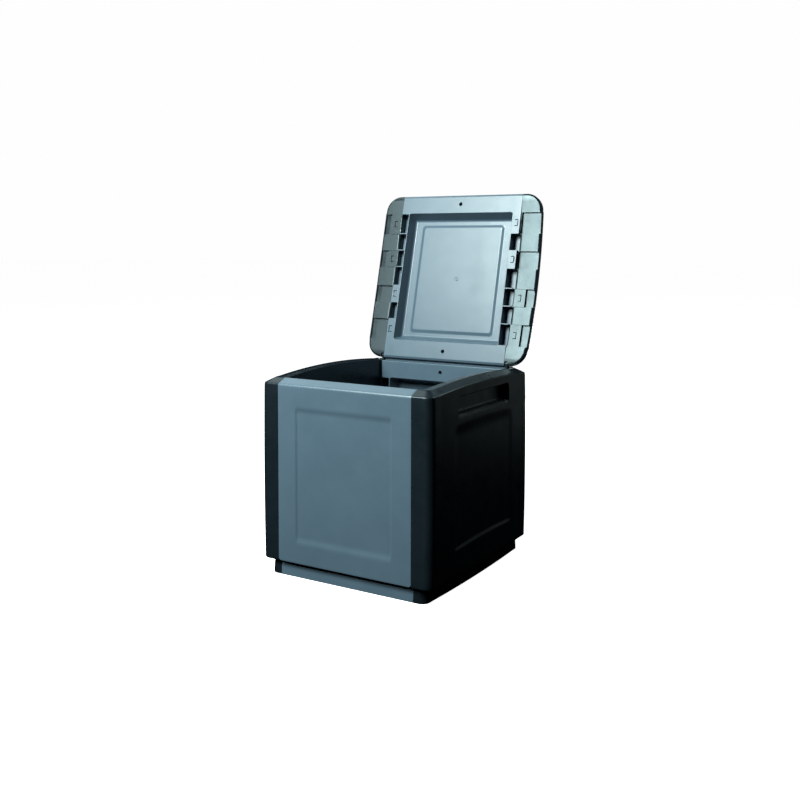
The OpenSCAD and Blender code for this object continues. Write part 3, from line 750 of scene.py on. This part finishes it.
def slot_tools(x, y, z, half_turn):
    """Three narrow cuts that free a springy tongue: a bar on the outer side and two arms."""
    half_w, half_l, t = SLOT_W / 2, SLOT_L / 2, SLOT_T
    parts = ((x + half_w - t, x + half_w, y - half_l, y + half_l),
             (x - half_w, x + half_w - t / 2, y - half_l, y - half_l + t),
             (x - half_w, x + half_w - t / 2, y + half_l - t, y + half_l))
    return [turned_block("slot", *part, z - 4 * MM, z + SLOT_DEPTH, half_turn) for part in parts]


def notch_tools(sign):
    """Room for a hinge arm in the lid's back edge, with the seat of the pin."""
    x0, x1 = sorted((sign * NOTCH_X0, sign * NOTCH_X1))
    lo = (x0, LID_HALF_L - NOTCH_DEPTH, LID_Z - 3 * MM)
    hi = (x1, LID_HALF_L + OVERCUT, AXIS.z + NOTCH_RISE)
    seat = barrel("seat", (sign * SEAT_X0, AXIS.y, AXIS.z), (sign * SEAT_X1, AXIS.y, AXIS.z), SEAT_R)
    return block("notch", lo, hi), seat


def latch_tool(i, half_turn):
    """One latch pocket beside a seam, open towards the lid's end."""
    y0, y1 = row_span(i)
    return turned_block("latch", LATCH_X, SEAM + OVERCUT, y0 + RIB_HALF, y1 - RIB_HALF,
                        LID_Z - OVERCUT, LID_Z + LID_LATCH_DEPTH, half_turn)


def soft_field(name, z, drop):
    """The pad's shape with its soft border, from height z down by drop at its middle."""
    rings = []
    for k in range(9):
        t = k / 8
        inset = PAD_EDGE * t
        half_u, half_v = PAD_HALF_U - inset, PAD_HALF_V - inset
        outline = rounded(-half_u, half_u, -half_v, half_v, PAD_CORNER_R - inset * 0.5)
        rings.append([(x, y, z - drop * smooth(t)) for x, y in outline])
    return loft(name, [[(x, y, z + FIELD_OVERLAP) for x, y, z in rings[0]]] + rings)


def build_lid_centre(name):
    """The lid's grey middle: hollow with its pad, bands with holes, latches, notches and top field."""
    outline = np.array(stretch(lid_profile(), 12 * MM))
    normal = outward(outline)
    rings = []
    for x in end_stations(spread(-SEAM + LID_END_R, SEAM - LID_END_R, 30 * MM), LID_END_R):
        inset = end_inset(x, LID_END_R)
        rings.append([(x, y - ny * inset, z - nz * inset) for (y, z), (ny, nz) in zip(outline, normal)])
    lid = loft(name, rings)
    under = lambda u, v, d: (u, v, LID_Z + d)
    steps = pocket_steps(LID_TUB, LID_TUB_MOUTH, LID_TUB_FLOOR_R, TUB_LEAN, TUB_END_LEAN)
    tools = [pocket("tub", -TUB_HALF_W, TUB_HALF_W, -LID_TUB_HALF_L, LID_TUB_HALF_L,
                    LID_TUB_CORNER_R, steps, under)]
    for sign in (-1, 1):
        y = sign * (LID_HALF_L - LID_BAND / 2)
        tools.append(barrel("hole", (0, y, LID_Z - OVERCUT), (0, y, LID_Z + LID_HOLE_DEPTH), HOLE_R))
    for half_turn in (False, True):
        for i in range(ROWS):
            if i in PLATE_ROWS:
                tools += slot_tools(PLATE_SLOT_X, sum(row_span(i)) / 2, LID_Z, half_turn)
            else:
                tools.append(latch_tool(i, half_turn))
    cut(lid, tools)
    for sign in (-1, 1):
        for tool in notch_tools(sign):
            cut(lid, [tool])
    join(lid, [soft_field("pad", LID_Z + LID_TUB, PAD_RISE)])
    cut(lid, gate_mark_tools())
    cut(lid, [soft_field("field", LID_Z + LID_H, TOP_FIELD_DEPTH)])
    finish_mesh(lid, bevel=0.7 * MM)
    return swing(lid)


def gate_mark_tools():
    """The small round moulding mark in the middle of the pad: a fine ring and a dot."""
    z = LID_Z + LID_TUB - PAD_RISE
    steps = 32
    verts = []
    for r, d in MARK_RING:
        for i in range(steps):
            a = 2 * math.pi * i / steps
            verts.append((r * MM * math.cos(a), r * MM * math.sin(a), z + d * MM))
    faces = []
    for k in range(len(MARK_RING)):
        m = (k + 1) % len(MARK_RING)
        for i in range(steps):
            j = (i + 1) % steps
            faces.append((k * steps + i, k * steps + j, m * steps + j, m * steps + i))
    dot = barrel("dot", (0, 0, z - 1 * MM), (0, 0, z + 2 * MM), MARK_DOT_R, steps=16)
    return [make("mark", verts, faces), dot]


def lid_end_levels():
    """(z, face inset, side inset, share of the arch) from the chamfered lip up to the lid's top."""
    out = [(z * MM, inset * MM, inset * MM, 1.0) for z, inset in LIP_PROFILE]
    rise = LID_H - LID_SIDE_EDGE
    for z in np.linspace(6 * MM, LID_H - 0.6 * MM, 20):
        face = soft_ramp((z - LID_EDGE) * BEVEL_RUN / (LID_H - LID_EDGE), BEVEL_SOFT)
        side = soft_ramp((z - LID_SIDE_EDGE) * SIDE_RUN / rise, LID_SIDE_SOFT)
        share = 1.0 - max(0.0, (z - LID_SIDE_EDGE) / rise)
        out.append((z, face, side, share))
    z, face, side, share = out[-1]
    out.append((LID_H - 0.2 * MM, face + 1 * MM, side + 1 * MM, share / 3))
    out.append((LID_H, face + 2.5 * MM, side + 2.5 * MM, 0.0))
    return out


def cell_tool(x0, y0, y1, left):
    """A sunk latch cell that follows the arch; on the left its floor rises to the lip."""
    rings = []
    for y in np.linspace(y0, y1, 5):
        rise = LID_Z + ARCH * arch(y)
        edge = LID_HALF_W + BOW * arch(y)
        table = LEFT_CELL_END if left else RIGHT_CELL_END
        far = [(edge - x * MM, rise + z * MM) for x, z in table]
        ring = [(x0, rise - BLOCK_DEPTH), (far[0][0], rise - BLOCK_DEPTH)] + far + [(x0, far[-1][1])]
        rings.append([(x, y, z) for x, z in ring])
    return loft("cell", rings)


def edge_tool(x0, y0, y1, r):
    """What is cut away to round a latch block's edge beside a pocket."""
    arc = [(x0 + r * (1 - math.cos(a)), r * (1 - math.sin(a))) for a in quarter(6)]
    rings = []
    for y in np.linspace(y0, y1, 5):
        rise = LID_Z + ARCH * arch(y)
        ring = [(x0 - 3 * MM, y, rise + r)] + [(x, y, rise + z) for x, z in arc]
        rings.append(ring + [(x0 + r, y, rise - BLOCK_DEPTH), (x0 - 3 * MM, y, rise - BLOCK_DEPTH)])
    return loft("edge", rings)


def build_lid_end(name, left):
    """Drawn as the right end; the left one is turned half round."""
    flat = LID_HALF_L - LID_CORNER_R
    ys = spread(-flat + 3 * MM, flat - 3 * MM, 12 * MM)
    rings = []
    for z, inset_f, inset_s, share in lid_end_levels():
        path = end_path(LID_HALF_W, BOW, LID_HALF_L, LID_CORNER_R, 1.0, inset_f, inset_s, ys, 16)
        rings.append([(x, y, LID_Z + z + ARCH * share * arch(y)) for x, y in path])
    end = end_solid(name, rings)
    cells, edges, slots, lines = [], [], [], []
    for i in range(ROWS):
        y0, y1 = row_span(i)
        block_r = BLOCK_R
        if i in TONGUE_ROWS:
            block_r = TONGUE_R
            middle = (y0 + y1) / 2
            cells.append(cell_tool(TONGUE_CELL_X, y0, y1, left))
            slots += slot_tools(TONGUE_SLOT_X, middle, LID_Z + ARCH * arch(middle), False)
        if i in PLATE_ROWS:
            cells.append(cell_tool(PLATE_CELL_X, y0, y1, left))
        else:
            edges.append(edge_tool(END_X, y0 + RIB_HALF, y1 - RIB_HALF, block_r))
        if i > 0:
            lo = (END_X - OVERCUT, y1 - LINE_HALF_W, LID_Z - OVERCUT)
            hi = (HALF_W - 2 * MM, y1 + LINE_HALF_W, LID_Z + ARCH * arch(y1) + LINE_DEPTH)
            lines.append(block("line", lo, hi))
    for tools in (cells, edges, slots, lines):
        cut(end, tools)
    for tool in notch_tools(1):
        if left:
            tool.data.transform(Matrix.Scale(-1, 4, (0, 1, 0)))
            tool.data.flip_normals()
        cut(end, [tool])
    finish_mesh(end)
    if left:
        turn_half(end)
    return swing(end)


# Base
def base_insets():
    """(z, inset) up the base's face: a soft foot and a face that leans in."""
    out = [(BASE_FOOT * (1 - math.cos(a)), BASE_FOOT * (1 - math.sin(a))) for a in quarter(4)]
    out += [(z * MM, inset * MM) for z, inset in BASE_PROFILE]
    return out + [(BASE_TOP, BASE_LEAN)]


def build_base_centre(name):
    """The base's grey middle with open bays underneath."""
    face = [(-BASE_HALF_D + inset, z) for z, inset in base_insets()]
    outline = face + [(-y, z) for y, z in reversed(face)]
    rings = []
    for x in (-SEAM, -SEAM + BASE_END_R, SEAM - BASE_END_R, SEAM):
        narrow = 1 - (BASE_END_R / HALF_D if abs(x) >= SEAM else 0)
        rings.append([(x, y * narrow, z) for y, z in outline])
    base = loft(name, rings)
    cut(base, base_bays(-SEAM + 2 * RIB_HALF, SEAM - 2 * RIB_HALF))
    finish_mesh(base)
    return base


def base_bays(x0, x1):
    """Tools for the bays, with ribs between them."""
    y1 = BASE_HALF_D - BASE_BORDER
    step_x, step_y = (x1 - x0) / BAYS_X, 2 * y1 / BAYS_Y
    tools = []
    for i in range(BAYS_X):
        for j in range(BAYS_Y):
            lo = (x0 + i * step_x + RIB_HALF, -y1 + j * step_y + RIB_HALF, -OVERCUT)
            hi = (x0 + (i + 1) * step_x - RIB_HALF, -y1 + (j + 1) * step_y - RIB_HALF, BASE_TOP - BASE_ROOF)
            tools.append(block("bay", lo, hi))
    return tools


def build_base_end(name):
    """The base's right end."""
    flat = BASE_HALF_D - CORNER_R
    ys = spread(-flat + 5 * MM, flat - 5 * MM, 16 * MM)
    rings = []
    for z, inset in base_insets():
        path = end_path(BASE_HALF_W, BOW, BASE_HALF_D, CORNER_R, 1.0, inset, inset, ys)
        rings.append([(x, y, z) for x, y in path])
    end = end_solid(name, rings)
    finish_mesh(end)
    return end


def build_pin(name, sign):
    """A hinge pin with chamfered ends."""
    a = (sign * pin_lo.x, AXIS.y, AXIS.z)
    b = (sign * pin_hi.x, AXIS.y, AXIS.z)
    pin = barrel(name, a, b, PIN_R, PIN_CHAMFER)
    finish_mesh(pin, bevel=0)
    return pin


# Finishes: every number that is the same all over a surface sits on the shader itself
class Nodes:
    """A short way to write a material's nodes."""

    def __init__(self, name):
        """A new material with its shader and the object's own coordinates."""
        self.material = bpy.data.materials.new(name)
        self.material.use_nodes = True
        self.tree = self.material.node_tree
        self.shader = self.tree.nodes["Principled BSDF"]
        self.place = self.tree.nodes.new("ShaderNodeTexCoord").outputs["Object"]

    def add(self, kind, inputs=None, **settings):
        """A node with its inputs linked or set."""
        node = self.tree.nodes.new("ShaderNode" + kind)
        for key, value in settings.items():
            setattr(node, key, value)
        for key, value in (inputs or {}).items():
            if isinstance(value, bpy.types.NodeSocket):
                self.tree.links.new(value, node.inputs[key])
            else:
                node.inputs[key].default_value = value
        return node

    def noise(self, scale, detail, roughness, stretch=(1, 1, 1)):
        """Noise fixed to the object."""
        place = self.add("Mapping", {"Vector": self.place, "Scale": stretch}).outputs[0]
        inputs = {"Vector": place, "Scale": scale, "Detail": detail, "Roughness": roughness}
        return self.add("TexNoise", inputs).outputs["Fac"]

    def span(self, value, lo, hi, out_lo, out_hi):
        """The value moved from one range to another."""
        inputs = {"Value": value, "From Min": lo, "From Max": hi, "To Min": out_lo, "To Max": out_hi}
        return self.add("MapRange", inputs).outputs[0]

    def mix(self, share, first, second):
        """A blend of two colours."""
        return self.add("MixRGB", {"Fac": share, "Color1": first, "Color2": second}).outputs[0]

    def bump(self, height, distance, strength, normal=None):
        """Relief over the surface, or over another relief."""
        inputs = {"Height": height, "Distance": distance, "Strength": strength}
        if normal:
            inputs["Normal"] = normal
        return self.add("Bump", inputs).outputs[0]


# Noise sizes, in waves to the metre, and how strongly each shows
DRIFT_SCALE = 7.0
FLECK_SCALE = 900.0
FLECK_SHARE = 0.18
FLECK_LIFT = 1.5
GRAIN_STRENGTH = 0.6
STREAK_SCALE = 60.0
STREAK_STRETCH = (1.0, 1.0, 9.0)
STREAK_DEPTH = 0.2 * MM
STREAK_STRENGTH = 0.12
WEAR_SCALE = 25.0


def plastic(name, dark, light, rough, grain, sheen):
    """Moulded plastic: a fine pebbled grain, slow colour drift, and faint flow lines."""
    n = Nodes(name)
    drift = n.noise(DRIFT_SCALE, 3.0, 0.6)
    fleck = n.noise(FLECK_SCALE, 2.0, 0.5)
    base = n.mix(n.span(drift, 0.35, 0.65, 0.0, 1.0), (*dark, 1), (*light, 1))
    lifted = (*[c * FLECK_LIFT for c in light], 1)
    tone = n.mix(n.span(fleck, 0.3, 0.7, 0.0, FLECK_SHARE), base, lifted)
    n.tree.links.new(tone, n.shader.inputs["Base Color"])
    streak = n.noise(STREAK_SCALE, 3.0, 0.6, STREAK_STRETCH)
    worn = n.span(n.noise(WEAR_SCALE, 4.0, 0.6), 0.3, 0.7, rough - 0.05, rough + 0.07)
    n.tree.links.new(worn, n.shader.inputs["Roughness"])
    n.shader.inputs["Specular Tint"].default_value = (*sheen, 1)
    coarse = n.bump(streak, STREAK_DEPTH, STREAK_STRENGTH)
    fine = n.bump(fleck, grain, GRAIN_STRENGTH, coarse)
    n.tree.links.new(fine, n.shader.inputs["Normal"])
    return n.material


def dress(obj, body, node, material):
    """Gives a shell its finish and its place in the model."""
    obj.data.materials.clear()
    obj.data.materials.append(material)
    for face in obj.data.polygons:
        face.material_index = 0
    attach(obj, body)
    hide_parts(node)


NEUTRAL_SHEEN = (1.0, 1.0, 1.0)
COOL_SHEEN = (0.83, 0.99, 1.04)
PANEL_GRAIN = 0.04 * MM
PIN_GRAIN = 0.02 * MM
# Name, darkest and lightest colour, roughness, depth of the grain, tint of the sheen
FINISHES = (
    ("grey_plastic", (0.063, 0.096, 0.126), (0.071, 0.105, 0.138), 0.33, PANEL_GRAIN, NEUTRAL_SHEEN),
    ("black_plastic", (0.0046, 0.0078, 0.0108), (0.0058, 0.0094, 0.013), 0.31, PANEL_GRAIN, COOL_SHEEN),
    ("pin_plastic", (0.012, 0.014, 0.016), (0.018, 0.020, 0.023), 0.3, PIN_GRAIN, NEUTRAL_SHEEN),
)
finishes = {row[0]: plastic(*row) for row in FINISHES}

front = build_wall("front_shell")
back = bpy.data.objects.new("back_shell", front.data.copy())
bpy.context.scene.collection.objects.link(back)
turn_half(back)
join(back, [rear_bead(-SEAM + BEAD_GAP, SEAM - BEAD_GAP)])
shade(back)
right = build_side("right_shell")
join(right, [hinge_arm("right_arm")])
join(right, [rear_bead(END_X, SEAM + BEAD_END)])
shade(right)
left = mirrored(right, "left_shell")
base_mid = build_base_centre("base_middle")
base_right = build_base_end("base_right")
base_left = mirrored(base_right, "base_left")
lid_mid = build_lid_centre("lid_middle")
lid_right = build_lid_end("lid_right", False)
lid_left = build_lid_end("lid_left", True)
pin_right = build_pin("pin_right", 1)
pin_left = build_pin("pin_left", -1)

# Shell, body, node that it replaces, slot
PIECES = (
    (front, "box", "front_panel", "grey_plastic"),
    (back, "box", "back_panel", "grey_plastic"),
    (right, "box", "right_side_panel", "black_plastic"),
    (left, "box", "left_side_panel", "black_plastic"),
    (base_mid, "box", "base_centre", "grey_plastic"),
    (base_right, "box", "base_right_end", "black_plastic"),
    (base_left, "box", "base_left_end", "black_plastic"),
    (lid_mid, "lid", "lid_centre_panel", "grey_plastic"),
    (lid_right, "lid", "lid_right_end", "black_plastic"),
    (lid_left, "lid", "lid_left_end", "black_plastic"),
    (pin_right, "lid", "hinge_pin_right", "pin_plastic"),
    (pin_left, "lid", "hinge_pin_left", "pin_plastic"),
)
for obj, body, node, slot in PIECES:
    dress(obj, body, node, finishes[slot])


# Stage, light and camera: a white floor that glows softly, a white backdrop, soft boxes and fills
FLOOR_HALF = 40.0
FLOOR_COLOUR = (0.9, 0.9, 0.9, 1)
FLOOR_GLOW = 0.985
BACKDROP = 0.99
LIGHT_COLOUR = (0.854, 1.0, 0.984)
LID_MIDDLE = Vector((0, 0.33, 0.8))
BOX_SIZE = (0.5, 0.7)
BOX_REACH = 2.9
# Name, degrees to the left of the raised lid and above it, watts
SOFT_BOXES = (
    ("main", 12, 38, 125),
    ("main_low", 12, 24, 39),
    ("left_low", 22, 24, 16.5),
    ("far_left_low", 32, 24, 11),
    ("far_left", 32, 38, 14),
)
# Name, place, target, size, watts
FILLS = (
    ("rim", (-1.46, 0.79, 2.40), (0, -0.28, 0.535), (1.4, 1.4), 9.5),
    ("back_right", (1.3, 1.6, 2.3), (0, 0, 0.5), (1.4, 1.4), 12),
    ("side", (1.6, 2.6, 0.8), (0.28, 0, 0.3), (2.0, 2.0), 1.5),
    ("behind", (-0.7, 2.9, 0.25), (0, 0.3, 0.45), (1.6, 0.4), 40),
)


def build_floor():
    """A wide white floor that lights nothing."""
    e = FLOOR_HALF
    floor = make("floor", [(-e, -e, 0), (e, -e, 0), (e, e, 0), (-e, e, 0)], [(0, 1, 2, 3)])
    material = bpy.data.materials.new("floor")
    material.use_nodes = True
    shader = material.node_tree.nodes["Principled BSDF"]
    shader.inputs["Base Color"].default_value = FLOOR_COLOUR
    shader.inputs["Roughness"].default_value = 0.9
    shader.inputs["Specular IOR Level"].default_value = 0.1
    shader.inputs["Emission Color"].default_value = (1, 1, 1, 1)
    shader.inputs["Emission Strength"].default_value = FLOOR_GLOW
    floor.data.materials.append(material)
    floor.visible_diffuse = False
    floor.visible_glossy = False


def area_light(name, place, target, size, power):
    """A soft light of the given size that faces its target."""
    data = bpy.data.lights.new(name, "AREA")
    data.shape = "RECTANGLE"
    data.size, data.size_y = size
    data.energy = power
    data.color = LIGHT_COLOUR
    light = bpy.data.objects.new(name, data)
    light.location = place
    light.rotation_euler = (Vector(target) - Vector(place)).to_track_quat("-Z", "Y").to_euler()
    bpy.context.scene.collection.objects.link(light)


def soft_box(name, azimuth, height, power):
    """A soft box in front of the raised lid, so many degrees to the left of it and above it."""
    a, e = math.radians(azimuth), math.radians(height)
    away = Vector((-math.sin(a) * math.cos(e), -math.cos(a) * math.cos(e), math.sin(e)))
    area_light(name, LID_MIDDLE + away * BOX_REACH, LID_MIDDLE, BOX_SIZE, power)


def build_backdrop():
    """A plain white surround that lights nothing."""
    world = bpy.data.worlds.new("backdrop")
    world.use_nodes = True
    background = world.node_tree.nodes["Background"]
    background.inputs["Color"].default_value = (1, 1, 1, 1)
    background.inputs["Strength"].default_value = BACKDROP
    world.cycles_visibility.diffuse = False
    world.cycles_visibility.glossy = False
    bpy.context.scene.world = world


FOCAL_PX = 980.0
FRAME_PX = 800
SENSOR = 36.0
CAMERA_PLACE = Vector((1.434, -2.3652, 0.907))
YAW = math.radians(31.22)
PITCH = math.radians(-3.36)
ROLL = math.radians(0.09)
AXIS_ABOVE_MIDDLE_PX = 100


def build_camera():
    """The photo's camera: place, turn and focal length in pixels, with a shift down."""
    data = bpy.data.cameras.new("camera")
    data.sensor_width = SENSOR
    data.sensor_fit = "HORIZONTAL"
    data.lens = FOCAL_PX * SENSOR / FRAME_PX
    data.shift_y = -AXIS_ABOVE_MIDDLE_PX / FRAME_PX
    data.clip_start = 0.05
    camera = bpy.data.objects.new("camera", data)
    look = Vector((-math.sin(YAW) * math.cos(PITCH), math.cos(YAW) * math.cos(PITCH), math.sin(PITCH)))
    right = Vector((math.cos(YAW), math.sin(YAW), 0))
    up = right.cross(look)
    right_r = right * math.cos(ROLL) + up * math.sin(ROLL)
    up_r = -right * math.sin(ROLL) + up * math.cos(ROLL)
    camera.matrix_world = Matrix((
        (right_r.x, up_r.x, -look.x, CAMERA_PLACE.x),
        (right_r.y, up_r.y, -look.y, CAMERA_PLACE.y),
        (right_r.z, up_r.z, -look.z, CAMERA_PLACE.z),
        (0, 0, 0, 1)))
    bpy.context.scene.collection.objects.link(camera)
    bpy.context.scene.camera = camera


build_floor()
build_backdrop()
for row in SOFT_BOXES:
    soft_box(*row)
for row in FILLS:
    area_light(*row)
build_camera()

bpy.context.scene.view_settings.view_transform = "Standard"
bpy.context.view_layer.update()
